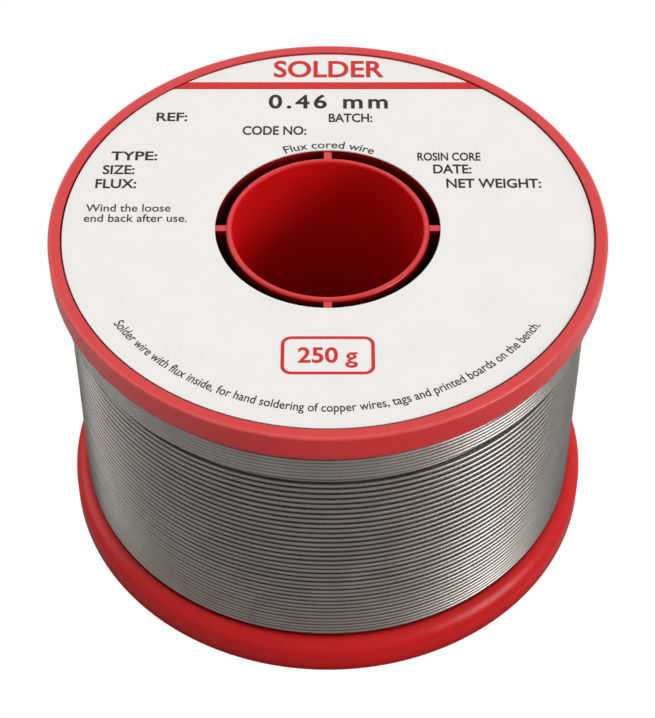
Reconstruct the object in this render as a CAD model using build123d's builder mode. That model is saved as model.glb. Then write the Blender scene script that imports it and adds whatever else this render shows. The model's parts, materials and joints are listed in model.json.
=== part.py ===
"""Solder wire spool: a two-part moulded reel, its labels and the solder wire wound on it.

Origin: centre of the lower rim's resting face. +Z runs up the spool's axis.
The free end of the wire lies on the +Y side. All sizes are in millimetres.
"""
from build123d import *
import math
import os

# ---------------------------------------------------------------- driving dimensions
FLANGE_DIAMETER = 55.0
OVERALL_HEIGHT = 36.7
FLANGE_THICKNESS = 4.05
WIRE_DIAMETER = 0.46
BORE_DIAMETER = 18.8
TUBE_DIAMETER = 20.1
BARREL_INNER_DIAMETER = 22.34
BARREL_OUTER_DIAMETER = 24.9

# flanges: a raised rim round a flat label recess
RECESS_DIAMETER = 52.56
RECESS_DEPTH = 0.35
RIM_FILLET = 0.2
RIM_INNER_FILLET = 0.1
WINDING_SIDE_FILLET = 1.8

# centre tube and the webs that carry it
TUBE_SETBACK = 0.2
TUBE_LIP_FILLET = 0.28
WEB_THICKNESS = 0.8
WEB_SETBACK = 0.36
WEB_COUNT = 4
WEB_ROOT = 0.2                  # how far a web runs into the walls it joins

# joint between the two halves of the reel
SPIGOT_LENGTH = 4.0
SEAM_GAP = 0.02

# labels
LABEL_DIAMETER = 52.26
LABEL_HOLE_DIAMETER = 22.2
LABEL_THICKNESS = 0.15
LABEL_BED = 0.02
UPPER_LABEL_SHIFT = 0.1         # it lies a little off centre in its recess, towards +Y

# winding: radii are those of the wire's centre line
OUTER_LAYER_RADIUS = 25.83
OUTER_TURNS = 42
PITCH_FALL = 0.2                # share of the pitch lost by a straight and by a late fall
LATE_FALL_POWER = 4
RIDGE_ROOT = 0.1                # sleeve surface below the wire centre line
RIDGE_FLAT = 0.5                # flat share of a ridge's width
LAST_TURNS = 6
CLOSE_PITCH = 0.465
CLEARANCE = 0.02

# start of the wire, through the barrel wall and up the hub gap
START_ANGLE = 45.0
START_HOLE_DIAMETER = 0.8
START_HOLE_RISE = 0.55          # hole centre above the lower flange
START_RADIUS = 10.6
START_BEND = 0.45
START_RISE = 2.2

# free end of the wire
TAIL_LINKS = 6
TAIL_LINK_ANGLE = 8.0
TAIL_FIRST_ANGLE = 114.0        # where it leaves the coil; it runs clockwise seen from above
TAIL_GAP_ANGLE = 0.05
CORE_COUNT = 5
CORE_DIAMETER = 0.09
CORE_CHANNEL_DIAMETER = 0.1
CORE_CIRCLE_RADIUS = 0.12

# ---------------------------------------------------------------- worked-out values
FLANGE_RADIUS = FLANGE_DIAMETER / 2
RECESS_RADIUS = RECESS_DIAMETER / 2
BORE_RADIUS = BORE_DIAMETER / 2
TUBE_RADIUS = TUBE_DIAMETER / 2
BARREL_INNER_RADIUS = BARREL_INNER_DIAMETER / 2
BARREL_RADIUS = BARREL_OUTER_DIAMETER / 2
BARREL_MIDDLE_RADIUS = (BARREL_INNER_RADIUS + BARREL_RADIUS) / 2
BARREL_WALL = BARREL_RADIUS - BARREL_INNER_RADIUS
SPIGOT_RADIUS = BARREL_MIDDLE_RADIUS - CLEARANCE
SOCKET_RADIUS = BARREL_MIDDLE_RADIUS + CLEARANCE
WEB_MIDDLE_RADIUS = (TUBE_RADIUS + BARREL_INNER_RADIUS) / 2
WEB_LENGTH = BARREL_INNER_RADIUS - TUBE_RADIUS + 2 * WEB_ROOT
UPPER_RECESS_FLOOR = OVERALL_HEIGHT - RECESS_DEPTH
TUBE_TOP = OVERALL_HEIGHT - TUBE_SETBACK
SEAM_HEIGHT = OVERALL_HEIGHT / 2
UPPER_SEAM = SEAM_HEIGHT + SEAM_GAP
SPIGOT_END = SEAM_HEIGHT - SPIGOT_LENGTH
SOCKET_END = SPIGOT_END - SEAM_GAP
LOWER_FACE = FLANGE_THICKNESS
UPPER_FACE = OVERALL_HEIGHT - FLANGE_THICKNESS

WIRE_RADIUS = WIRE_DIAMETER / 2
WINDING_LOW = LOWER_FACE + CLEARANCE
WINDING_HIGH = UPPER_FACE - CLEARANCE
OUTER_LAYER_INSIDE = OUTER_LAYER_RADIUS - WIRE_RADIUS
UNDER_LAYER_INSIDE = OUTER_LAYER_INSIDE - WIRE_DIAMETER
LAST_TURNS_RADIUS = OUTER_LAYER_RADIUS + WIRE_DIAMETER + CLEARANCE
LAST_TURNS_LOW = WINDING_HIGH - WIRE_DIAMETER - (LAST_TURNS - 1) * CLOSE_PITCH
START_HEIGHT = LOWER_FACE + START_HOLE_RISE
TAIL_HEIGHT = WINDING_HIGH - WIRE_RADIUS - LAST_TURNS * CLOSE_PITCH


def outer_turn_heights():
    """Heights of the outer layer's turns, from the top, with the pitch falling towards the bottom."""
    weights = []
    for step in range(OUTER_TURNS - 1):
        share = step / (OUTER_TURNS - 2)
        weights.append(1 - PITCH_FALL * (share + share**LATE_FALL_POWER))
    span = WINDING_HIGH - WINDING_LOW - WIRE_DIAMETER
    heights = [WINDING_HIGH - WIRE_RADIUS]
    for weight in weights:
        heights.append(heights[-1] - span * weight / sum(weights))
    return heights


def last_turn_heights():
    """Heights of the close turns of the unfinished last layer, from the top."""
    top = WINDING_HIGH - WIRE_RADIUS
    return [top - turn * CLOSE_PITCH for turn in range(LAST_TURNS)]


def ridged_outline(centre_radius, heights, low):
    """Half section of a sleeve of wound wire: straight inside, one flat-topped ridge per turn outside."""
    inside = centre_radius - WIRE_RADIUS
    root = centre_radius - RIDGE_ROOT
    crest = centre_radius + WIRE_RADIUS
    half_root = math.sqrt(WIRE_RADIUS**2 - RIDGE_ROOT**2)
    half_crest = half_root * RIDGE_FLAT
    corners = [(inside, low), (inside, WINDING_HIGH), (root, WINDING_HIGH)]
    for height in heights:
        corners.append((root, height + half_root))
        corners.append((crest, height + half_crest))
        corners.append((crest, height - half_crest))
        corners.append((root, height - half_root))
    corners.append((root, low))
    Polyline(corners, close=True)


def round_corner(section, radius, height, size):
    """Round one corner of the half section that is being drawn."""
    fillet(section.vertices().sort_by_distance((radius, height))[0], size)


def upright_plane(angle):
    """Plane through the axis at an angle: local x runs outwards, local y runs up."""
    turn = math.radians(angle)
    outwards = (math.cos(turn), math.sin(turn), 0)
    return Plane(origin=(0, 0, 0), x_dir=outwards, z_dir=(outwards[1], -outwards[0], 0))


def radial_plane(angle, radius, height):
    """Plane that faces outwards from the axis at an angle, a radius and a height."""
    turn = math.radians(angle)
    outwards = (math.cos(turn), math.sin(turn), 0)
    return Plane(origin=(radius * outwards[0], radius * outwards[1], height), z_dir=outwards)


os.makedirs("parts", exist_ok=True)

# ---------------------------------------------------------------- lower half of the reel
with BuildPart() as lower_reel_half:
    with BuildSketch(Plane.XZ) as section:
        with BuildLine():
            Polyline(
                (BARREL_INNER_RADIUS, RECESS_DEPTH),
                (RECESS_RADIUS, RECESS_DEPTH),
                (RECESS_RADIUS, 0),
                (FLANGE_RADIUS, 0),
                (FLANGE_RADIUS, LOWER_FACE),
                (BARREL_RADIUS, LOWER_FACE),
                (BARREL_RADIUS, SEAM_HEIGHT),
                (SOCKET_RADIUS, SEAM_HEIGHT),
                (SOCKET_RADIUS, SOCKET_END),
                (BARREL_INNER_RADIUS, SOCKET_END),
                close=True,
            )
        make_face()
        round_corner(section, RECESS_RADIUS, 0, RIM_INNER_FILLET)
        round_corner(section, FLANGE_RADIUS, 0, RIM_FILLET)
        round_corner(section, FLANGE_RADIUS, LOWER_FACE, WINDING_SIDE_FILLET)
    revolve(axis=Axis.Z)
    with BuildSketch(Plane.XZ) as section:
        with BuildLine():
            Polyline(
                (BORE_RADIUS, TUBE_SETBACK),
                (TUBE_RADIUS, TUBE_SETBACK),
                (TUBE_RADIUS, SEAM_HEIGHT),
                (BORE_RADIUS, SEAM_HEIGHT),
                close=True,
            )
        make_face()
        round_corner(section, BORE_RADIUS, TUBE_SETBACK, TUBE_LIP_FILLET)
        round_corner(section, TUBE_RADIUS, TUBE_SETBACK, TUBE_LIP_FILLET)
    revolve(axis=Axis.Z)
    with BuildSketch(Plane.XY.offset(WEB_SETBACK)):
        with PolarLocations(WEB_MIDDLE_RADIUS, WEB_COUNT):
            Rectangle(WEB_LENGTH, WEB_THICKNESS)
    extrude(amount=SOCKET_END - WEB_SETBACK)
    with BuildSketch(radial_plane(START_ANGLE, BARREL_MIDDLE_RADIUS, START_HEIGHT)):
        Circle(START_HOLE_DIAMETER / 2)
    extrude(amount=BARREL_WALL, both=True, mode=Mode.SUBTRACT)

lower_reel_half.part.label = "lower_reel_half"
export_step(lower_reel_half.part, "parts/lower_reel_half.step")

# ---------------------------------------------------------------- upper half of the reel
with BuildPart() as upper_reel_half:
    with BuildSketch(Plane.XZ) as section:
        with BuildLine():
            Polyline(
                (BARREL_INNER_RADIUS, UPPER_RECESS_FLOOR),
                (RECESS_RADIUS, UPPER_RECESS_FLOOR),
                (RECESS_RADIUS, OVERALL_HEIGHT),
                (FLANGE_RADIUS, OVERALL_HEIGHT),
                (FLANGE_RADIUS, UPPER_FACE),
                (BARREL_RADIUS, UPPER_FACE),
                (BARREL_RADIUS, UPPER_SEAM),
                (SPIGOT_RADIUS, UPPER_SEAM),
                (SPIGOT_RADIUS, SPIGOT_END),
                (BARREL_INNER_RADIUS, SPIGOT_END),
                close=True,
            )
        make_face()
        round_corner(section, RECESS_RADIUS, OVERALL_HEIGHT, RIM_INNER_FILLET)
        round_corner(section, FLANGE_RADIUS, OVERALL_HEIGHT, RIM_FILLET)
        round_corner(section, FLANGE_RADIUS, UPPER_FACE, WINDING_SIDE_FILLET)
    revolve(axis=Axis.Z)
    with BuildSketch(Plane.XZ) as section:
        with BuildLine():
            Polyline(
                (BORE_RADIUS, UPPER_SEAM),
                (TUBE_RADIUS, UPPER_SEAM),
                (TUBE_RADIUS, TUBE_TOP),
                (BORE_RADIUS, TUBE_TOP),
                close=True,
            )
        make_face()
        round_corner(section, BORE_RADIUS, TUBE_TOP, TUBE_LIP_FILLET)
        round_corner(section, TUBE_RADIUS, TUBE_TOP, TUBE_LIP_FILLET)
    revolve(axis=Axis.Z)
    with BuildSketch(Plane.XY.offset(UPPER_SEAM)):
        with PolarLocations(WEB_MIDDLE_RADIUS, WEB_COUNT):
            Rectangle(WEB_LENGTH, WEB_THICKNESS)
    extrude(amount=OVERALL_HEIGHT - WEB_SETBACK - UPPER_SEAM)

upper_reel_half.part.label = "upper_reel_half"
export_step(upper_reel_half.part, "parts/upper_reel_half.step")

# ---------------------------------------------------------------- labels, one in each recess
with BuildPart() as lower_label:
    with BuildSketch(Plane.XY.offset(RECESS_DEPTH - LABEL_BED - LABEL_THICKNESS)):
        Circle(LABEL_DIAMETER / 2)
        Circle(LABEL_HOLE_DIAMETER / 2, mode=Mode.SUBTRACT)
    extrude(amount=LABEL_THICKNESS)

lower_label.part.label = "lower_label"
export_step(lower_label.part, "parts/lower_label.step")

with BuildPart() as upper_label:
    with BuildSketch(Plane(origin=(0, UPPER_LABEL_SHIFT, UPPER_RECESS_FLOOR + LABEL_BED))):
        Circle(LABEL_DIAMETER / 2)
        Circle(LABEL_HOLE_DIAMETER / 2, mode=Mode.SUBTRACT)
    extrude(amount=LABEL_THICKNESS)

upper_label.part.label = "upper_label"
export_step(upper_label.part, "parts/upper_label.step")

# ---------------------------------------------------------------- winding, from the barrel outwards
with BuildPart() as packed_layers:
    with BuildSketch(Plane.XY.offset(WINDING_LOW)):
        Circle(UNDER_LAYER_INSIDE - CLEARANCE)
        Circle(BARREL_RADIUS + CLEARANCE, mode=Mode.SUBTRACT)
    extrude(amount=WINDING_HIGH - WINDING_LOW)

packed_layers.part.label = "packed_layers"
export_step(packed_layers.part, "parts/packed_layers.step")

with BuildPart() as under_layer:
    with BuildSketch(Plane.XY.offset(WINDING_LOW)):
        Circle(OUTER_LAYER_INSIDE - CLEARANCE)
        Circle(UNDER_LAYER_INSIDE, mode=Mode.SUBTRACT)
    extrude(amount=WINDING_HIGH - WINDING_LOW)

under_layer.part.label = "under_layer"
export_step(under_layer.part, "parts/under_layer.step")

with BuildPart() as outer_layer:
    with BuildSketch(Plane.XZ):
        with BuildLine():
            ridged_outline(OUTER_LAYER_RADIUS, outer_turn_heights(), WINDING_LOW)
        make_face()
    revolve(axis=Axis.Z)

outer_layer.part.label = "outer_layer"
export_step(outer_layer.part, "parts/outer_layer.step")

with BuildPart() as last_turns:
    with BuildSketch(Plane.XZ):
        with BuildLine():
            ridged_outline(LAST_TURNS_RADIUS, last_turn_heights(), LAST_TURNS_LOW)
        make_face()
    revolve(axis=Axis.Z)

last_turns.part.label = "last_turns"
export_step(last_turns.part, "parts/last_turns.step")

# ---------------------------------------------------------------- start of the wire
with BuildPart() as wire_start_end:
    with BuildLine(upright_plane(START_ANGLE)) as path:
        FilletPolyline(
            (BARREL_RADIUS, START_HEIGHT),
            (START_RADIUS, START_HEIGHT),
            (START_RADIUS, START_HEIGHT + START_RISE),
            radius=START_BEND,
        )
    with BuildSketch(Plane(origin=path.line @ 0, z_dir=path.line % 0)):
        Circle(WIRE_RADIUS)
    sweep(path=path.line)

wire_start_end.part.label = "wire_start_end"
export_step(wire_start_end.part, "parts/wire_start_end.step")

# ---------------------------------------------------------------- free end of the wire
for link in range(1, TAIL_LINKS + 1):
    far_angle = TAIL_FIRST_ANGLE - link * TAIL_LINK_ANGLE + TAIL_GAP_ANGLE
    with BuildPart() as wire_tail:
        with BuildSketch(upright_plane(far_angle)):
            with Locations((LAST_TURNS_RADIUS, TAIL_HEIGHT)):
                Circle(WIRE_RADIUS)
                if link == TAIL_LINKS:
                    with PolarLocations(CORE_CIRCLE_RADIUS, CORE_COUNT):
                        Circle(CORE_CHANNEL_DIAMETER / 2, mode=Mode.SUBTRACT)
        revolve(axis=Axis.Z, revolution_arc=TAIL_LINK_ANGLE - 2 * TAIL_GAP_ANGLE)
    wire_tail.part.label = f"wire_tail_{link}"
    export_step(wire_tail.part, f"parts/wire_tail_{link}.step")

# flux cores, where the wire's cut end shows them
with BuildPart() as tail_flux_cores:
    with BuildSketch(upright_plane(far_angle)):
        with Locations((LAST_TURNS_RADIUS, TAIL_HEIGHT)):
            with PolarLocations(CORE_CIRCLE_RADIUS, CORE_COUNT):
                Circle(CORE_DIAMETER / 2)
    revolve(axis=Axis.Z, revolution_arc=TAIL_LINK_ANGLE - 2 * TAIL_GAP_ANGLE)

tail_flux_cores.part.label = "tail_flux_cores"
export_step(tail_flux_cores.part, "parts/tail_flux_cores.step")
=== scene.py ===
"""Looks of the solder wire spool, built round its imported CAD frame. Lengths are in metres."""

import json
import math

import bmesh
import bpy
from mathutils import Matrix, Vector, noise


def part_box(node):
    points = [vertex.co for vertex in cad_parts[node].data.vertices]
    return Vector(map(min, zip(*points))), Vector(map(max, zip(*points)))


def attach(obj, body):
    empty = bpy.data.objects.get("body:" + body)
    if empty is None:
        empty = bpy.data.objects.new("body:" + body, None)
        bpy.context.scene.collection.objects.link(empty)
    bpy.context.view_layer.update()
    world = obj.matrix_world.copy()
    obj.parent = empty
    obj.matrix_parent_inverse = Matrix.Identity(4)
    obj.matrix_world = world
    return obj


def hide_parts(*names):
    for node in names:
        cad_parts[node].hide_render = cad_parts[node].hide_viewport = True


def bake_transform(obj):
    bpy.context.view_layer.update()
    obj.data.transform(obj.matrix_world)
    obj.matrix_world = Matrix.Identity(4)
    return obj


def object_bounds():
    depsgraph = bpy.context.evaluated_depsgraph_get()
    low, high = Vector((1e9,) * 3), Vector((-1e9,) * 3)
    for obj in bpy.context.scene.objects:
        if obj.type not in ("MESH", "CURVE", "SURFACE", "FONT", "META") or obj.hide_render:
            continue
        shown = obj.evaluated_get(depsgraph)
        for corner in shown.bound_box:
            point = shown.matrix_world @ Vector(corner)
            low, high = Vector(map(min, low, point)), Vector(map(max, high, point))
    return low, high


MM = 0.001

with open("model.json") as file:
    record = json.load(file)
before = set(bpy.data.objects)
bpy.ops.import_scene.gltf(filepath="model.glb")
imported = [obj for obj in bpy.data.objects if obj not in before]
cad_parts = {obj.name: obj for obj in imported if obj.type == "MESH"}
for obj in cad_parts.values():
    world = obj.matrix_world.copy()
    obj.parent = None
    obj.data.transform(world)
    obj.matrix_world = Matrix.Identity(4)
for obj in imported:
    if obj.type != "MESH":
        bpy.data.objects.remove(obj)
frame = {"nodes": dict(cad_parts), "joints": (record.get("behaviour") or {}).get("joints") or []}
cad_low, cad_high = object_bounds()

# -------------------------------------------------- sizes from the frame
TOP = cad_high.z
FLANGE_RADIUS = cad_high.x
LABEL_LOW, LABEL_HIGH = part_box("upper_label")
OUTER_LOW, OUTER_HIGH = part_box("outer_layer")
UNDER_LOW, UNDER_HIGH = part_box("under_layer")
LAST_LOW, LAST_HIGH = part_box("last_turns")
HINGES = [Vector(joint["pos_m"]) for joint in frame["joints"]]

# the reel, in millimetres, with the CAD's dimensions: the frame gives only its outer ones
REEL_TOP = TOP / MM
REEL_RADIUS = FLANGE_RADIUS / MM
FLANGE_THICKNESS = 4.05
RECESS_RADIUS = 26.28
RECESS_DEPTH = 0.35
BORE_RADIUS = 9.4
TUBE_RADIUS = 10.05
TUBE_SETBACK = 0.2
BARREL_INNER_RADIUS = 11.17
BARREL_RADIUS = 12.45
WEB_THICKNESS = 0.8
WEB_SETBACK = 0.36
WEB_ROOT = 0.2
SPIGOT_LENGTH = 4.0
SEAM_GAP = 0.02
START_HOLE_RADIUS = 0.4
START_HOLE_HEIGHT = 4.6
START_HOLE_ANGLE = math.radians(45)
RIM_FILLET = 0.2
RIM_INNER_FILLET = 0.1
WINDING_SIDE_FILLET = 1.8
TUBE_LIP_FILLET = 0.28
LABEL_HOLE_RADIUS = 11.1
LABEL_CUT_FILLET = 0.03

# the wire
WIRE_RADIUS = 0.23 * MM
OUTER_RADIUS = OUTER_HIGH.x - WIRE_RADIUS
UNDER_RADIUS = UNDER_HIGH.x - WIRE_RADIUS
LAST_RADIUS = LAST_HIGH.x - WIRE_RADIUS
OUTER_TURNS = 42
PITCH_FALL = 0.2                # the pitch loses this share evenly, and as much again late on
LATE_FALL_POWER = 4
LAST_TURNS = 6
TAIL_LINK_ANGLE = math.radians(8)
TAIL_START_ANGLE = math.atan2(HINGES[0].y, HINGES[0].x)
TAIL_HEIGHT = HINGES[0].z


# -------------------------------------------------- materials
class Graph:
    """The node graph of a material or a world, written as one call per node."""

    def __init__(self, owner, output="ShaderNodeOutputMaterial"):
        self.material = owner
        owner.use_nodes = True
        self.tree = owner.node_tree
        self.tree.nodes.clear()
        self.output = self.tree.nodes.new(output)

    def add(self, kind, inputs=None, **settings):
        node = self.tree.nodes.new("ShaderNode" + kind)
        for key, value in settings.items():
            setattr(node, key, value)
        for key, value in (inputs or {}).items():
            if isinstance(value, bpy.types.NodeSocket):
                self.tree.links.new(value, node.inputs[key])
            else:
                node.inputs[key].default_value = value
        return node

    def math(self, operation, first, second=0.0):
        return self.add("Math", {0: first, 1: second}, operation=operation).outputs[0]

    def length(self, first, second):
        squares = [self.math("MULTIPLY", side, side) for side in (first, second)]
        return self.math("SQRT", self.math("ADD", *squares))

    def noise(self, vector, scale, detail=3.0, roughness=0.5):
        values = {"Vector": vector, "Scale": scale, "Detail": detail, "Roughness": roughness}
        return self.add("TexNoise", values).outputs["Fac"]

    def ramp(self, value, start, end, low=0.0, high=1.0, shape="LINEAR"):
        """Goes from low to high as the value goes from start to end, and holds beyond them."""
        values = {"Value": value, 1: start, 2: end, 3: low, 4: high}
        return self.add("MapRange", values, interpolation_type=shape).outputs[0]

    def spread(self, value, low, high):
        """Maps a noise value, which lies mostly between 0.3 and 0.7, onto low to high."""
        return self.ramp(value, 0.3, 0.7, low, high)

    def mix(self, factor, first, second):
        return self.add("Mix", {0: factor, 6: first, 7: second}, data_type="RGBA").outputs[2]

    def place(self):
        """The rest position of the shaded point, in metres."""
        return self.add("TexCoord").outputs["Object"]

    def openness(self, reach, low, high):
        """0 in narrow gaps and corners, 1 in the open, judged by what is nearer than the reach."""
        seen = self.add("AmbientOcclusion", {"Distance": reach}, samples=8).outputs["AO"]
        return self.ramp(seen, low, high)

    def bump(self, height, distance, strength=1.0):
        values = {"Height": height, "Distance": distance, "Strength": strength}
        return self.add("Bump", values).outputs["Normal"]

    def surface(self, **values):
        inputs = {key.replace("_", " "): value for key, value in values.items()}
        shader = self.add("BsdfPrincipled", inputs)
        self.tree.links.new(shader.outputs[0], self.output.inputs["Surface"])
        return self.material


# the reel's sharp rims are painted pale up to the first distance, and fade out by the second:
# partly rub wear, partly a painted highlight along the rims' edges
RUB_AND_HIGHLIGHT_FULL = 0.08 * MM
RUB_AND_HIGHLIGHT_END = 0.34 * MM
REEL_GLOSS = 0.5
BORE_GLOSS = 0.15               # share of the gloss that the bore keeps
LOW_GLOSS = 0.5                 # share of the gloss that the lower flange keeps
DRAW_STRETCH = 1.2 * MM         # counted for a radian, which stretches draw lines along the wire


def reel_plastic():
    """Moulded red polystyrene: soft gloss, flow shading, painted shade in narrow gaps, rims
    painted paler as rub wear and a painted highlight.
    """
    g = Graph(bpy.data.materials.new("reel_plastic"))
    place = g.place()
    flow = g.noise(place, 90.0, 4.0, 0.6)
    colour = g.mix(g.spread(flow, 0.0, 1.0), (0.53, 0.004, 0.005, 1), (0.58, 0.007, 0.008, 1))
    x, y, z = g.add("SeparateXYZ", {0: place}).outputs
    from_axis = g.length(x, y)
    from_top = g.math("ABSOLUTE", g.math("SUBTRACT", z, TOP))
    from_end = g.math("MINIMUM", g.math("ABSOLUTE", z), from_top)
    from_edge = g.length(g.math("SUBTRACT", from_axis, FLANGE_RADIUS), from_end)
    # painted highlight and rub wear: the rims' edges are painted a paler red
    rub_and_highlight = g.ramp(from_edge, RUB_AND_HIGHLIGHT_FULL, RUB_AND_HIGHLIGHT_END, 1.0, 0.0)
    rub_and_highlight = g.math("MULTIPLY", rub_and_highlight, g.spread(g.noise(place, 260.0, 3.0, 0.6), 0.3, 0.6))
    colour = g.mix(rub_and_highlight, colour, (0.80, 0.13, 0.12, 1))
    # painted shade: narrow gaps, grooves and corners are painted dark red where shade falls; the
    # same share also dims the gloss there
    open_share = g.openness(2.5 * MM, 0.28, 0.8)
    colour = g.mix(open_share, (0.05, 0.001, 0.001, 1), colour)
    rough = g.spread(g.noise(place, 110.0, 1.0), 0.29, 0.34)
    # as in the photo, the bore and the lower flange have less gloss than the rest
    wall, lip = (BORE_RADIUS + 0.02) * MM, (BORE_RADIUS + 0.2) * MM
    bore_share = g.ramp(from_axis, wall, lip, BORE_GLOSS)
    low_share = g.ramp(z, 5 * MM, 15 * MM, LOW_GLOSS)
    gloss = g.math("MULTIPLY", open_share, REEL_GLOSS)
    gloss = g.math("MULTIPLY", gloss, g.math("MULTIPLY", bore_share, low_share))
    return g.surface(Base_Color=colour, Roughness=rough, Specular_IOR_Level=gloss, IOR=1.5)


def label_paper():
    """Coated white label stock: faint fibre mottle, slight unevenness, a few specks."""
    g = Graph(bpy.data.materials.new("label_paper"))
    place = g.place()
    cloud = g.noise(place, 220.0, 4.0, 0.6)
    colour = g.mix(g.spread(cloud, 0.0, 1.0), (0.705, 0.695, 0.67, 1), (0.735, 0.725, 0.70, 1))
    fibre = g.noise(place, 5200.0, 3.0, 0.65)
    colour = g.mix(g.spread(fibre, 0.0, 0.2), colour, (0.65, 0.635, 0.60, 1))
    rough = g.spread(g.noise(place, 900.0), 0.42, 0.58)
    grain = g.bump(fibre, 0.004 * MM, 0.4)
    return g.surface(Base_Color=colour, Roughness=rough, Normal=grain)


def print_ink(name, dark, light):
    """Flexographic ink: slightly uneven film with a pinhole texture."""
    g = Graph(bpy.data.materials.new(name))
    place = g.place()
    film = g.noise(place, 1800.0, 3.0, 0.7)
    colour = g.mix(g.spread(film, 0.0, 1.0), dark, light)
    rough = g.spread(g.noise(place, 4000.0), 0.38, 0.55)
    grain = g.bump(film, 0.002 * MM, 0.4)
    return g.surface(Base_Color=colour, Roughness=rough, Specular_IOR_Level=0.2, Normal=grain)


def solder():
    """Drawn tin alloy: dull bright metal with draw lines that run along the wire."""
    g = Graph(bpy.data.materials.new("solder"))
    x, y, z = g.add("SeparateXYZ", {0: g.place()}).outputs
    along = g.math("MULTIPLY", g.math("ARCTAN2", y, x), DRAW_STRETCH)
    wire = g.add("CombineXYZ", {0: along, 1: g.length(x, y), 2: z}).outputs[0]
    lines = g.noise(wire, 9000.0, 2.0, 0.5)
    patches = g.noise(g.place(), 300.0, 4.0, 0.6)
    colour = g.mix(g.spread(patches, 0.0, 1.0), (0.235, 0.222, 0.210, 1), (0.285, 0.271, 0.258, 1))
    colour = g.mix(g.spread(lines, 0.0, 0.25), colour, (0.15, 0.14, 0.13, 1))
    # paler in the gaps, in place of the light that neighbouring turns throw on each other
    colour = g.mix(g.openness(0.8 * MM, 0.1, 0.8), (0.46, 0.41, 0.38, 1), colour)
    rough = g.spread(g.noise(g.place(), 110.0, 1.0), 0.33, 0.38)
    drawn = g.bump(lines, 0.002 * MM, 0.3)
    return g.surface(Base_Color=colour, Metallic=1.0, Roughness=rough, Normal=drawn)


def flux():
    """Amber rosin at the wire's cut end."""
    g = Graph(bpy.data.materials.new("flux"))
    cloud = g.noise(g.place(), 9000.0, 3.0, 0.6)
    colour = g.mix(g.spread(cloud, 0.0, 1.0), (0.42, 0.20, 0.05, 1), (0.62, 0.36, 0.10, 1))
    rough = g.spread(cloud, 0.2, 0.4)
    return g.surface(Base_Color=colour, Roughness=rough, Normal=g.bump(cloud, 0.002 * MM))


REEL = reel_plastic()
PAPER = label_paper()
DARK_INK = print_ink("dark_ink", (0.012, 0.011, 0.010, 1), (0.024, 0.022, 0.020, 1))
RED_INK = print_ink("red_ink", (0.50, 0.014, 0.015, 1), (0.57, 0.022, 0.022, 1))
SOLDER = solder()
FLUX = flux()


# -------------------------------------------------- mesh helpers
def mesh_object(name, points, faces, material, smooth=True):
    mesh = bpy.data.meshes.new(name)
    mesh.from_pydata(points, [], faces)
    mesh.validate()
    bm = bmesh.new()
    bm.from_mesh(mesh)
    bmesh.ops.recalc_face_normals(bm, faces=bm.faces)
    bm.to_mesh(mesh)
    bm.free()
    mesh.polygons.foreach_set("use_smooth", [smooth] * len(mesh.polygons))
    mesh.materials.append(material)
    obj = bpy.data.objects.new(name, mesh)
    bpy.context.scene.collection.objects.link(obj)
    return obj


UP = Vector((0, 0, 1))
WIRE_SIDES = 12


def wire_mesh(name, centres):
    """Closed round wire along points on and round the spool's axis, with flat cut ends."""
    points = []
    for centre in centres:
        outwards = Vector((centre.x, centre.y, 0)).normalized()
        for side in range(WIRE_SIDES):
            turn = 2 * math.pi * side / WIRE_SIDES
            points.append(centre + WIRE_RADIUS * (math.cos(turn) * outwards + math.sin(turn) * UP))
    faces = []
    for ring in range(len(centres) - 1):
        here = ring * WIRE_SIDES
        there = here + WIRE_SIDES
        for side in range(WIRE_SIDES):
            after = (side + 1) % WIRE_SIDES
            faces.append((here + side, here + after, there + after, there + side))
    faces.append(tuple(range(WIRE_SIDES)))
    last = (len(centres) - 1) * WIRE_SIDES
    faces.append(tuple(last + side for side in range(WIRE_SIDES)))
    obj = mesh_object(name, points, faces, SOLDER)
    obj.data.polygons[len(faces) - 1].use_smooth = False
    obj.data.polygons[len(faces) - 2].use_smooth = False
    return obj


def polar(radius, angle, height):
    return Vector((radius * math.cos(angle), radius * math.sin(angle), height))


# -------------------------------------------------- the reel, in millimetres until it is placed
LATHE_STEPS = 320
ROUND_STEP = math.radians(9)
TANGENT_STRIP = 0.03            # narrow strip beside a round, which keeps flat faces evenly shaded
SHARP_ANGLE = math.radians(35)
BOX_FACES = ((0, 1, 2, 3), (4, 5, 6, 7), (0, 1, 5, 4), (1, 2, 6, 5), (2, 3, 7, 6), (3, 0, 4, 7))
BAR_SIDES = 24
BAR_OVERSHOOT = 0.5


def rounded_outline(corners):
    """Closed outline from (radius, height, round) corners that are all square to one another."""
    points = []
    for index, (x, y, size) in enumerate(corners):
        corner = Vector((x, y))
        if size == 0:
            points.append(corner)
            continue
        before = (Vector(corners[index - 1][:2]) - corner).normalized()
        after = (Vector(corners[(index + 1) % len(corners)][:2]) - corner).normalized()
        centre = corner + size * (before + after)
        steps = round(math.pi / 2 / ROUND_STEP)
        points.append(corner + (size + TANGENT_STRIP) * before)
        for step in range(steps + 1):
            turn = math.pi / 2 * step / steps
            points.append(centre - size * (math.cos(turn) * after + math.sin(turn) * before))
        points.append(corner + (size + TANGENT_STRIP) * after)
    return points


def lathe(name, corners):
    """Ring turned from a closed outline."""
    outline = rounded_outline(corners)
    points = []
    for step in range(LATHE_STEPS):
        turn = 2 * math.pi * (step + 0.5) / LATHE_STEPS
        points += [(p.x * math.cos(turn), p.x * math.sin(turn), p.y) for p in outline]
    count = len(outline)
    faces = []
    for step in range(LATHE_STEPS):
        here = step * count
        there = (step + 1) % LATHE_STEPS * count
        for index in range(count):
            after = (index + 1) % count
            faces.append((here + index, there + index, there + after, here + after))
    return mesh_object(name, points, faces, REEL)


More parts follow.
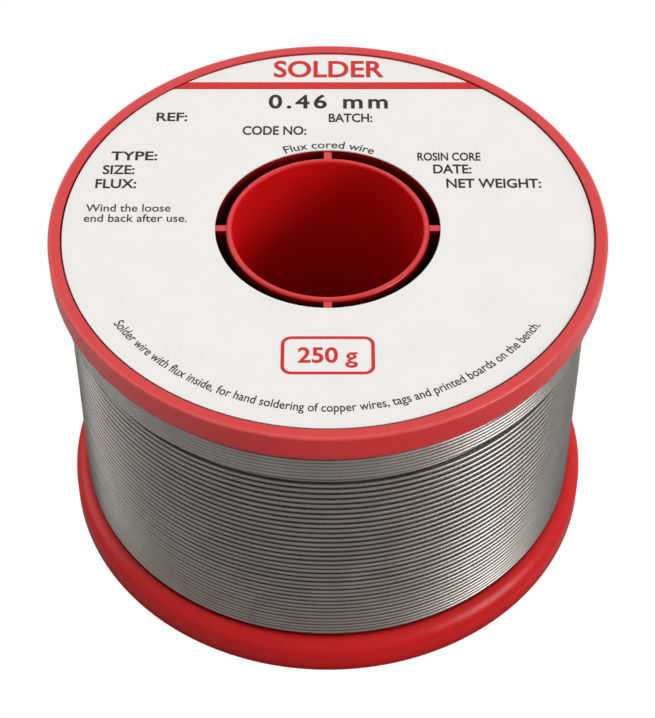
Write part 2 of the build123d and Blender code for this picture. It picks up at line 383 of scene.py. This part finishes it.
def web_blocks(name, low, high):
    """Four thin walls between the centre tube and the barrel, on the X and Y axes."""
    points = []
    faces = []
    near = TUBE_RADIUS - WEB_ROOT
    far = BARREL_INNER_RADIUS + WEB_ROOT
    half = WEB_THICKNESS / 2
    for quarter in range(4):
        turn = Matrix.Rotation(math.pi / 2 * quarter, 3, "Z")
        first = len(points)
        for z in (low, high):
            for x, y in ((near, -half), (far, -half), (far, half), (near, half)):
                points.append(turn @ Vector((x, y, z)))
        for face in BOX_FACES:
            faces.append(tuple(first + corner for corner in face))
    return mesh_object(name, points, faces, REEL)


def start_hole_bar():
    """Round bar that cuts the hole for the start of the wire through the barrel wall."""
    turn = Matrix.Rotation(START_HOLE_ANGLE, 3, "Z")
    points = []
    for x in (BARREL_INNER_RADIUS - BAR_OVERSHOOT, BARREL_RADIUS + BAR_OVERSHOOT):
        for side in range(BAR_SIDES):
            angle = 2 * math.pi * side / BAR_SIDES
            y = START_HOLE_RADIUS * math.cos(angle)
            z = START_HOLE_HEIGHT + START_HOLE_RADIUS * math.sin(angle)
            points.append(turn @ Vector((x, y, z)))
    faces = [tuple(range(BAR_SIDES)), tuple(range(BAR_SIDES, 2 * BAR_SIDES))]
    for side in range(BAR_SIDES):
        after = (side + 1) % BAR_SIDES
        faces.append((side, after, BAR_SIDES + after, BAR_SIDES + side))
    return mesh_object("start_hole_bar", points, faces, REEL)


def combine(body, other, operation):
    """Adds or cuts another closed mesh, then removes it."""
    modifier = body.modifiers.new("combine", "BOOLEAN")
    modifier.operation = operation
    modifier.solver = "EXACT"
    modifier.object = other
    depsgraph = bpy.context.evaluated_depsgraph_get()
    mesh = bpy.data.meshes.new_from_object(body.evaluated_get(depsgraph))
    body.modifiers.clear()
    body.data = mesh
    bpy.data.objects.remove(other)


def place_reel_piece(piece, node):
    """Turns millimetres into metres, keeps square edges crisp and replaces the node."""
    piece.data.transform(Matrix.Scale(MM, 4))
    piece.data.polygons.foreach_set("use_smooth", [True] * len(piece.data.polygons))
    piece.data.set_sharp_from_angle(angle=SHARP_ANGLE)
    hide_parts(node)
    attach(piece, "spool")


def flange_corners(seam):
    """Outline of the upper flange and its half of the barrel, which ends in the seam's corners."""
    floor = REEL_TOP - RECESS_DEPTH
    face = REEL_TOP - FLANGE_THICKNESS
    return [
        (BARREL_INNER_RADIUS, floor, 0),
        (RECESS_RADIUS, floor, 0),
        (RECESS_RADIUS, REEL_TOP, RIM_INNER_FILLET),
        (REEL_RADIUS, REEL_TOP, RIM_FILLET),
        (REEL_RADIUS, face, WINDING_SIDE_FILLET),
        (BARREL_RADIUS, face, 0),
        *seam,
    ]


def tube_corners(top, bottom):
    return [
        (BORE_RADIUS, bottom, 0),
        (TUBE_RADIUS, bottom, 0),
        (TUBE_RADIUS, top, TUBE_LIP_FILLET),
        (BORE_RADIUS, top, TUBE_LIP_FILLET),
    ]


def flipped(corners):
    """The same outline upside down."""
    return [(x, REEL_TOP - y, size) for x, y, size in reversed(corners)]


SEAM = REEL_TOP / 2
UPPER_SEAM = SEAM + SEAM_GAP
BARREL_MIDDLE_RADIUS = (BARREL_INNER_RADIUS + BARREL_RADIUS) / 2
SPIGOT_RADIUS = BARREL_MIDDLE_RADIUS - SEAM_GAP
SOCKET_RADIUS = BARREL_MIDDLE_RADIUS + SEAM_GAP
SPIGOT_END = SEAM - SPIGOT_LENGTH
SOCKET_END = SPIGOT_END - SEAM_GAP
TUBE_TOP = REEL_TOP - TUBE_SETBACK

upper_spigot = [
    (BARREL_RADIUS, UPPER_SEAM, 0),
    (SPIGOT_RADIUS, UPPER_SEAM, 0),
    (SPIGOT_RADIUS, SPIGOT_END, 0),
    (BARREL_INNER_RADIUS, SPIGOT_END, 0),
]
upper_reel = lathe("upper_reel_body", flange_corners(upper_spigot))
combine(upper_reel, web_blocks("webs", UPPER_SEAM, REEL_TOP - WEB_SETBACK), "UNION")
combine(upper_reel, lathe("tube", tube_corners(TUBE_TOP, UPPER_SEAM)), "UNION")
place_reel_piece(upper_reel, "upper_reel_half")

lower_socket = [
    (BARREL_RADIUS, REEL_TOP - SEAM, 0),
    (SOCKET_RADIUS, REEL_TOP - SEAM, 0),
    (SOCKET_RADIUS, REEL_TOP - SOCKET_END, 0),
    (BARREL_INNER_RADIUS, REEL_TOP - SOCKET_END, 0),
]
lower_reel = lathe("lower_reel_body", flipped(flange_corners(lower_socket)))
combine(lower_reel, web_blocks("webs", WEB_SETBACK, SOCKET_END), "UNION")
combine(lower_reel, lathe("tube", flipped(tube_corners(TUBE_TOP, REEL_TOP - SEAM))), "UNION")
combine(lower_reel, start_hole_bar(), "DIFFERENCE")
place_reel_piece(lower_reel, "lower_reel_half")


def label_sheet(name, node):
    """Die-cut paper ring with softly cut edges, in the middle of the node's box."""
    low, high = (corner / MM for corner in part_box(node))
    corners = [
        (LABEL_HOLE_RADIUS, low.z, LABEL_CUT_FILLET),
        (high.x, low.z, LABEL_CUT_FILLET),
        (high.x, high.z, LABEL_CUT_FILLET),
        (LABEL_HOLE_RADIUS, high.z, LABEL_CUT_FILLET),
    ]
    sheet = lathe(name, corners)
    sheet.data.transform(Matrix.Translation((0, (low.y + high.y) / 2, 0)))
    sheet.data.materials[0] = PAPER
    place_reel_piece(sheet, node)


label_sheet("upper_label_sheet", "upper_label")
label_sheet("lower_label_sheet", "lower_label")

# -------------------------------------------------- the winding
STEPS_PER_TURN = 200
UNDER_SUNK = 0.02 * MM          # keeps the under layer's wire clear of the outer layer's
OUTER_WANDER = 0.045 * MM       # how far a turn strays up or down
UNDER_WANDER = 0.03 * MM
LIFT = 0.02 * MM                # how far a turn strays outwards
LAST_LIFT = 0.012 * MM

# the close last turns press the outer layer's top turns together, which opens a gap below them
SLIP = 1.0 * MM
SLIP_TURNS = 0.2                # turns over which the gap opens
SLIP_DROP = 1.4 * MM            # how far below the last turns it opens, at the back

# the wire climbs from the under layer to the outer one at the lower flange, and from that one to
# the last turns at the upper flange
CLIMB_TURNS = 0.1
LAYER_END_ANGLE = 1.3

# a different wander for each layer
OUTER_SEED = 1.3
UNDER_SEED = 4.1


def outer_heights():
    """Heights of the outer layer's turns from the top; the pitch falls towards the bottom."""
    weights = []
    for step in range(OUTER_TURNS - 1):
        share = step / (OUTER_TURNS - 2)
        weights.append(1 - PITCH_FALL * (share + share**LATE_FALL_POWER))
    span = OUTER_HIGH.z - OUTER_LOW.z - 2 * WIRE_RADIUS
    heights = [OUTER_HIGH.z - WIRE_RADIUS]
    for weight in weights:
        heights.append(heights[-1] - span * weight / sum(weights))
    return heights


def wound_layer(name, radius, hand, wander, seed, slip_turn=None, top_climb=0.0, low_climb=0.0):
    """One full layer from the top down: a helix with the small wander of machine winding.

    top_climb and low_climb are how far its ends rise towards the next layer out.
    """
    heights = outer_heights()
    turns = len(heights) - 1
    centres = []
    for step in range(turns * STEPS_PER_TURN + 1):
        turn = step / STEPS_PER_TURN
        index = min(int(turn), turns - 1)
        height = heights[index] + (heights[index + 1] - heights[index]) * (turn - index)
        angle = hand * 2 * math.pi * turn + LAYER_END_ANGLE
        # the fixed numbers and the seed only pick a place in the noise
        drift = noise.noise(Vector((turn * 1.7, seed * 9.1, 0.5)))
        lift = noise.noise(Vector((turn * 2.3, seed * 5.3, 7.5)))
        ends = min(1.0, turn, turns - turn)
        height += wander * drift * ends
        if slip_turn:
            slipped = smooth_step((slip_turn - turn) / SLIP_TURNS + 0.5)
            height += SLIP * slipped * min(1.0, turn / slip_turn)
        raised = top_climb * smooth_step(1 - turn / CLIMB_TURNS)
        raised += low_climb * smooth_step(1 - (turns - turn) / CLIMB_TURNS)
        centres.append(polar(radius + raised + LIFT * lift * ends, angle, height))
    return wire_mesh(name, centres)


def smooth_step(share):
    share = min(max(share, 0.0), 1.0)
    return share * share * (3 - 2 * share)


def turn_below_last_layer():
    """Turn count at which the outer layer passes, at the back, just below the close last turns."""
    wanted = LAST_LOW.z - SLIP_DROP
    heights = outer_heights()
    nearest = min(range(len(heights)), key=lambda index: abs(heights[index] - wanted))
    back = (math.pi / 2 - LAYER_END_ANGLE) / (2 * math.pi)
    return back + round(nearest - back)


outer_layer = wound_layer(
    "outer_layer_wire", OUTER_RADIUS, 1, OUTER_WANDER, OUTER_SEED,
    slip_turn=turn_below_last_layer(), top_climb=LAST_RADIUS - OUTER_RADIUS,
)
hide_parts("outer_layer")
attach(outer_layer, "spool")

sunk_radius = UNDER_RADIUS - UNDER_SUNK
under_layer = wound_layer(
    "under_layer_wire", sunk_radius, -1, UNDER_WANDER, UNDER_SEED,
    low_climb=OUTER_RADIUS - sunk_radius,
)
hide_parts("under_layer")
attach(under_layer, "spool")


def last_layer():
    """The close turns of the unfinished layer, from the outer layer's top end to the free end."""
    end_angle = TAIL_START_ANGLE + TAIL_LINK_ANGLE / 2
    turns = LAST_TURNS - (end_angle - LAYER_END_ANGLE) / (2 * math.pi)
    top = OUTER_HIGH.z - WIRE_RADIUS
    pitch = (top - TAIL_HEIGHT) / turns
    centres = []
    total = round(turns * STEPS_PER_TURN)
    for step in range(total + 1):
        turn = turns * step / total
        angle = end_angle - 2 * math.pi * (turn - turns)
        lift = noise.noise(Vector((turn * 2.1, 3.7, 1.5)))
        ends = min(1.0, turn, turns - turn)
        height = top - pitch * turn
        centres.append(polar(LAST_RADIUS + LAST_LIFT * lift * ends, angle, height))
    return wire_mesh("last_turns_wire", centres)


last_turns = last_layer()
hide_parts("last_turns")
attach(last_turns, "spool")

# -------------------------------------------------- the free end
BEND_STEPS = 16


def tail_bend(number, first, last):
    """Stretch of wire from one tail body to the next, which bends between the two turn angles."""
    angles = [first + (last - first) * step / BEND_STEPS for step in range(BEND_STEPS + 1)]
    centres = [polar(LAST_RADIUS, angle, TAIL_HEIGHT) for angle in angles]
    bend = wire_mesh(f"wire_tail_bend_{number}", centres)
    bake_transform(bend)
    return bend


half = TAIL_LINK_ANGLE / 2
for number, hinge in enumerate(HINGES, start=1):
    middle = math.atan2(hinge.y, hinge.x)
    if number < len(HINGES):
        bend = tail_bend(number, middle + half, middle - half)
        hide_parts(f"wire_tail_{number}")
    else:
        # the last length is the CAD's own, so its bend ends at the hinge
        tail_bend(number, middle + half, middle)

# -------------------------------------------------- finishes of the CAD nodes
WIRE_SHARP_ANGLE = math.radians(40)


def finish_node(name, material, smooth=False):
    mesh = frame["nodes"][name].data
    mesh.materials.clear()
    mesh.materials.append(material)
    if smooth:
        mesh.polygons.foreach_set("use_smooth", [True] * len(mesh.polygons))
        mesh.set_sharp_from_angle(angle=WIRE_SHARP_ANGLE)


finish_node("packed_layers", SOLDER)
finish_node("wire_start_end", SOLDER, smooth=True)
finish_node(f"wire_tail_{len(HINGES)}", SOLDER, smooth=True)
finish_node("tail_flux_cores", FLUX)


# -------------------------------------------------- print on the upper label, in millimetres
PRINT_SINK = 0.004              # how far the ink reaches into the paper
PRINT_RISE = 0.012
LABEL_RADIUS = LABEL_HIGH.x / MM
STRIPE_INSET = 0.02             # keeps the stripe's ends inside the label's edge
LETTER_BOLD = 0.022             # how far letters are thickened, in the font's own units
SMALL_BOLD = 0.008
MITRE_LIMIT = 0.6               # least slant that counts, so that sharp corners don't shoot out
UPRIGHT_LIMIT = 0.5             # a face whose normal has less z than this is a wall
UNFOLD_ROUNDS = 12


class Print:
    """Everything printed in one ink: thin closed slabs gathered into one mesh."""

    def __init__(self):
        self.bm = bmesh.new()

    def add_slab(self, outline, holes=()):
        """Slab between closed outlines of (x, y) points; a hole has as many as the outline."""
        rings = [outline, *holes]
        layers = []
        for z in (-PRINT_SINK, PRINT_RISE):
            layers.append([[self.bm.verts.new((x, y, z)) for x, y in ring] for ring in rings])
        count = len(outline)
        for ring in range(len(rings)):
            for point in range(count):
                after = (point + 1) % count
                low, high = layers[0][ring], layers[1][ring]
                self.bm.faces.new((low[point], low[after], high[after], high[point]))
        for layer in layers:
            if not holes:
                self.bm.faces.new(layer[0])
                continue
            for point in range(count):
                after = (point + 1) % count
                outer, inner = layer
                self.bm.faces.new((outer[point], outer[after], inner[after], inner[point]))

    def add_text(self, text, place, size_x, cap_height, spacing=1.0, bold=LETTER_BOLD):
        """Letters size_x wide; place turns x, y from the start of the baseline into label x, y."""
        letters, left, width, cap = letter_mesh(text, spacing, bold)
        for vertex in letters.verts:
            x = (vertex.co.x - left) * size_x / width
            y = vertex.co.y * cap_height / cap
            z = PRINT_RISE if vertex.co.z > 0 else -PRINT_SINK
            vertex.co = (*place(x, y), z)
        mesh = bpy.data.meshes.new("letters")
        letters.to_mesh(mesh)
        letters.free()
        self.bm.from_mesh(mesh)
        bpy.data.meshes.remove(mesh)

    def line(self, text, x_low, x_high, baseline, cap_height, spacing=1.0, bold=LETTER_BOLD):

        def place(x, y):
            return x_low + x, baseline + y

        self.add_text(text, place, x_high - x_low, cap_height, spacing, bold)

    def upper_arc(self, text, radius, angle_low, angle_high, cap_height):
        """Text over a circle, read from the angle on its left to the one on its right."""

        def place(x, y):
            angle = math.radians(angle_low) - x / radius
            return (radius + y) * math.cos(angle), (radius + y) * math.sin(angle)

        size_x = radius * math.radians(angle_low - angle_high)
        self.add_text(text, place, size_x, cap_height, bold=SMALL_BOLD)

    def lower_arc(self, text, radius, angle_low, angle_high, cap_height):
        """Text under a circle's centre with the tops of its letters towards the centre."""

        def place(x, y):
            angle = math.radians(angle_low) + x / radius
            return (radius - y) * math.cos(angle), (radius - y) * math.sin(angle)

        size_x = radius * math.radians(angle_high - angle_low)
        self.add_text(text, place, size_x, cap_height, bold=SMALL_BOLD)

    def finish(self, name, ink):
        bmesh.ops.recalc_face_normals(self.bm, faces=self.bm.faces)
        label_middle = (LABEL_LOW + LABEL_HIGH) / 2
        place = Matrix.Translation((0, label_middle.y, LABEL_HIGH.z))
        self.bm.transform(place @ Matrix.Scale(MM, 4))
        mesh = bpy.data.meshes.new(name)
        self.bm.to_mesh(mesh)
        self.bm.free()
        mesh.materials.append(ink)
        obj = bpy.data.objects.new(name, mesh)
        bpy.context.scene.collection.objects.link(obj)
        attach(obj, "spool")


def letter_mesh(text, spacing, bold):
    """Letters as closed slabs, with their left edge, their width and the height of a capital."""
    curve = bpy.data.curves.new("letters", "FONT")
    curve.extrude = 0.05
    curve.resolution_u = 4
    curve.space_character = spacing
    obj = bpy.data.objects.new("letters", curve)
    bpy.context.scene.collection.objects.link(obj)

    def shape(body):
        curve.body = body
        bpy.context.view_layer.update()
        evaluated = obj.evaluated_get(bpy.context.evaluated_depsgraph_get())
        bm = bmesh.new()
        bm.from_mesh(evaluated.to_mesh())
        evaluated.to_mesh_clear()
        bmesh.ops.remove_doubles(bm, verts=bm.verts, dist=1e-5)
        bmesh.ops.recalc_face_normals(bm, faces=bm.faces)
        embolden(bm, bold)
        return bm

    letters = shape(text)
    across = [vertex.co.x for vertex in letters.verts]
    capital = shape("H")
    cap = max(vertex.co.y for vertex in capital.verts)
    capital.free()
    bpy.data.objects.remove(obj)
    bpy.data.curves.remove(curve)
    return letters, min(across), max(across) - min(across), cap


def embolden(bm, amount):
    """Moves the letters' walls outwards with mitred corners, unless that folds a face over."""
    bm.normal_update()
    moves = {}
    for vertex in bm.verts:
        walls = [face.normal for face in vertex.link_faces if abs(face.normal.z) < UPRIGHT_LIMIT]
        out = sum(walls, Vector())
        if out.length > 1e-6:
            out.normalize()
            slant = max(MITRE_LIMIT, min(out.dot(wall) for wall in walls))
            moves[vertex] = (vertex.co.copy(), vertex.co + out * amount / slant)
    for vertex, (_, after) in moves.items():
        vertex.co = after
    for _ in range(UNFOLD_ROUNDS):
        bm.normal_update()
        folded = [face for face in bm.faces if face.normal.z * face.calc_center_median().z < 0]
        folded = [face for face in folded if abs(face.normal.z) > UPRIGHT_LIMIT]
        for face in folded:
            for vertex in face.verts:
                vertex.co = moves[vertex][0]


def stripe_outline(y_low, y_high, radius):
    """Band right across the label, with round ends on its edge."""
    steps = 8
    points = []
    for side, first, last in ((1, y_low, y_high), (-1, y_high, y_low)):
        for step in range(steps + 1):
            y = first + (last - first) * step / steps
            points.append((side * math.sqrt(radius**2 - y**2), y))
    return points


def rounded_box(centre_y, half_x, half_y, corner):
    steps = 6
    points = []
    corners = ((1, 1, 0), (-1, 1, 90), (-1, -1, 180), (1, -1, 270))
    for side_x, side_y, start in corners:
        for step in range(steps + 1):
            angle = math.radians(start + 90 * step / steps)
            x = side_x * (half_x - corner) + corner * math.cos(angle)
            y = centre_y + side_y * (half_y - corner) + corner * math.sin(angle)
            points.append((x, y))
    return points


# heights of a capital
CAPTION = 1.3
NARROW_CAPTION = CAPTION * 0.9
SMALL = 1.05

# a line has its left and right ends, its baseline and the height of a capital
red_print = Print()
red_print.add_slab(stripe_outline(20.48, 21.59, LABEL_RADIUS - STRIPE_INSET))
red_print.line("SOLDER", -5.7, 5.9, 22.45, 2.6)
red_print.add_slab(rounded_box(-17.2, 4.4, 2.4, 1.0), [rounded_box(-17.2, 4.05, 2.05, 0.65)])
red_print.line("250 g", -2.8, 2.8, -18.1, 1.9)
red_print.finish("upper_label_red_print", RED_INK)

dark_print = Print()
dark_print.line("0.46 mm", -6.15, 6.25, 17.5, 2.1, 1.25)
dark_print.line("REF:", -17.7, -14.5, 15.5, CAPTION)
dark_print.line("BATCH:", 0.1, 4.6, 15.35, CAPTION)
dark_print.line("CODE NO:", -8.75, -2.2, 13.4, CAPTION)
dark_print.upper_arc("Flux cored wire", 11.35, 112, 66.5, SMALL)
dark_print.line("TYPE:", -22.0, -17.3, 9.55, CAPTION)
dark_print.line("SIZE:", -22.7, -19.5, 7.5, CAPTION)
dark_print.line("FLUX:", -23.3, -19.2, 5.45, CAPTION)
dark_print.line("Wind the loose", -24.0, -15.6, 2.05, SMALL, bold=SMALL_BOLD)
dark_print.line("end back after use.", -24.1, -13.9, 0.6, SMALL, bold=SMALL_BOLD)
dark_print.line("ROSIN CORE", 9.1, 15.5, 9.5, NARROW_CAPTION)
dark_print.line("DATE:", 10.65, 14.5, 7.6, CAPTION)
dark_print.line("NET WEIGHT:", 11.9, 21.4, 5.5, CAPTION)
dark_print.lower_arc(
    "Solder wire with flux inside, for hand soldering of copper wires, "
    "tags and printed boards on the bench.",
    24.15, -147, -33.6, 1.0,
)
dark_print.finish("upper_label_dark_print", DARK_INK)


# -------------------------------------------------- floor and studio light
FLOOR_REACH = 3.0
# painted shadow: the floor that the spool reflects is painted darker near it, as a contact shadow
MIRROR_DARK = 28 * MM           # from here to the next distance the mirrored floor gets paler
MIRROR_PALE = 62 * MM
FLOOR_DROP = 0.02 * MM          # keeps the floor clear of the rim's lowest face


def stage_floor():
    """Pale floor: white to the camera, darker in what the spool reflects, with a painted contact
    shadow close to the spool there.

    It is clear from below, and in a ring that the spool covers, so that the underside can be seen.
    """
    g = Graph(bpy.data.materials.new("floor"))
    path = g.add("LightPath").outputs
    speckle = g.noise(g.place(), 60.0)
    pale = g.mix(speckle, (0.30, 0.30, 0.30, 1), (0.34, 0.34, 0.34, 1))
    x, y, z = g.add("SeparateXYZ", {0: g.place()}).outputs
    from_axis = g.length(x, y)
    # painted contact shadow in the reflected floor, darker near the spool
    away = g.ramp(from_axis, MIRROR_DARK, MIRROR_PALE)
    mirrored = g.mix(away, (0.28, 0.28, 0.28, 1), (0.62, 0.62, 0.62, 1))
    shade = g.add("BsdfDiffuse", {0: g.mix(path["Is Glossy Ray"], pale, mirrored)})
    glow = g.add("Emission", {0: (1, 1, 1, 1), 1: 1.0})
    both = g.add("MixShader", {0: path["Is Camera Ray"], 1: shade.outputs[0], 2: glow.outputs[0]})
    past_hole = g.math("GREATER_THAN", from_axis, (LABEL_HOLE_RADIUS + 0.4) * MM)
    short_of_rim = g.math("LESS_THAN", from_axis, (RECESS_RADIUS - 0.08) * MM)
    covered = g.math("MULTIPLY", past_hole, short_of_rim)
    clear_share = g.math("MAXIMUM", covered, g.add("NewGeometry").outputs["Backfacing"])
    clear = g.add("BsdfTransparent")
    whole = g.add("MixShader", {0: clear_share, 1: both.outputs[0], 2: clear.outputs[0]})
    g.tree.links.new(whole.outputs[0], g.output.inputs["Surface"])
    signs = ((-1, -1), (1, -1), (1, 1), (-1, 1))
    corners = [Vector((x * FLOOR_REACH, y * FLOOR_REACH, -FLOOR_DROP)) for x, y in signs]
    mesh_object("floor", corners, [(0, 1, 2, 3)], g.material, smooth=False)


def direction_to(azimuth, elevation):
    """Azimuth 0 is in front (-Y), 90 to the right (+X)."""
    turn = math.radians(azimuth)
    rise = math.radians(elevation)
    level = math.cos(rise)
    return Vector((math.sin(turn) * level, -math.cos(turn) * level, math.sin(rise)))


def studio_world():
    """Soft studio: a dim surround with wide glowing panels, and white to the camera."""
    world = bpy.data.worlds.new("studio")
    bpy.context.scene.world = world
    g = Graph(world, "ShaderNodeOutputWorld")
    towards = g.add("TexCoord").outputs["Generated"]
    total = BASE_LIGHT
    path = g.add("LightPath").outputs
    for azimuth, elevation, wide, full, strength, diffuse_share in PANELS:
        sides = {0: towards, 1: direction_to(azimuth, elevation)}
        dot = g.add("VectorMath", sides, operation="DOT_PRODUCT").outputs["Value"]
        start, end = math.cos(math.radians(wide)), math.cos(math.radians(full))
        lobe = g.ramp(dot, start, end, 0.0, strength, shape="SMOOTHSTEP")
        dimmed = g.math("MULTIPLY", path["Is Diffuse Ray"], 1 - diffuse_share)
        total = g.math("ADD", g.math("MULTIPLY", lobe, g.math("SUBTRACT", 1.0, dimmed)), total)
    light = g.add("Background", {0: (1, 1, 1, 1), 1: total})
    backdrop = g.add("Background", {0: (1, 1, 1, 1), 1: 1.0})
    shaders = {0: path["Is Camera Ray"], 1: light.outputs[0], 2: backdrop.outputs[0]}
    both = g.add("MixShader", shaders)
    g.tree.links.new(both.outputs[0], g.output.inputs["Surface"])


# azimuth, elevation, half width where the glow ends, half width of its bright middle, strength,
# and the share of the strength that lights dull surfaces
PANELS = (
    (180, 62, 44, 16, 0.8, 1.0),
    (65, 22, 21, 6, 10.5, 0.1),
    (180, 10, 60, 20, 0.3, 1.0),
    (-108, 25, 27, 8, 1.7, 0.5),
)
BASE_LIGHT = 0.6

stage_floor()
studio_world()

# the camera was fitted to the circles in the photo; its place is in flange radii from the middle
# of the top face
CAMERA_ASIDE = -0.001
CAMERA_BACK = 5.6058
CAMERA_UP = 5.4672
CAMERA_DIP = 47.78              # degrees below level
CAMERA_LENS = 109.57
CAMERA_SENSOR = 36.0

camera = bpy.data.cameras.new("camera")
camera.lens = CAMERA_LENS
camera.sensor_width = CAMERA_SENSOR
camera_object = bpy.data.objects.new("camera", camera)
camera_object.location = (
    CAMERA_ASIDE * FLANGE_RADIUS,
    -CAMERA_BACK * FLANGE_RADIUS,
    TOP + CAMERA_UP * FLANGE_RADIUS,
)
camera_object.rotation_euler = (math.radians(90 - CAMERA_DIP), 0, 0)
bpy.context.scene.collection.objects.link(camera_object)
bpy.context.scene.camera = camera_object

bpy.context.scene.view_settings.view_transform = "Standard"
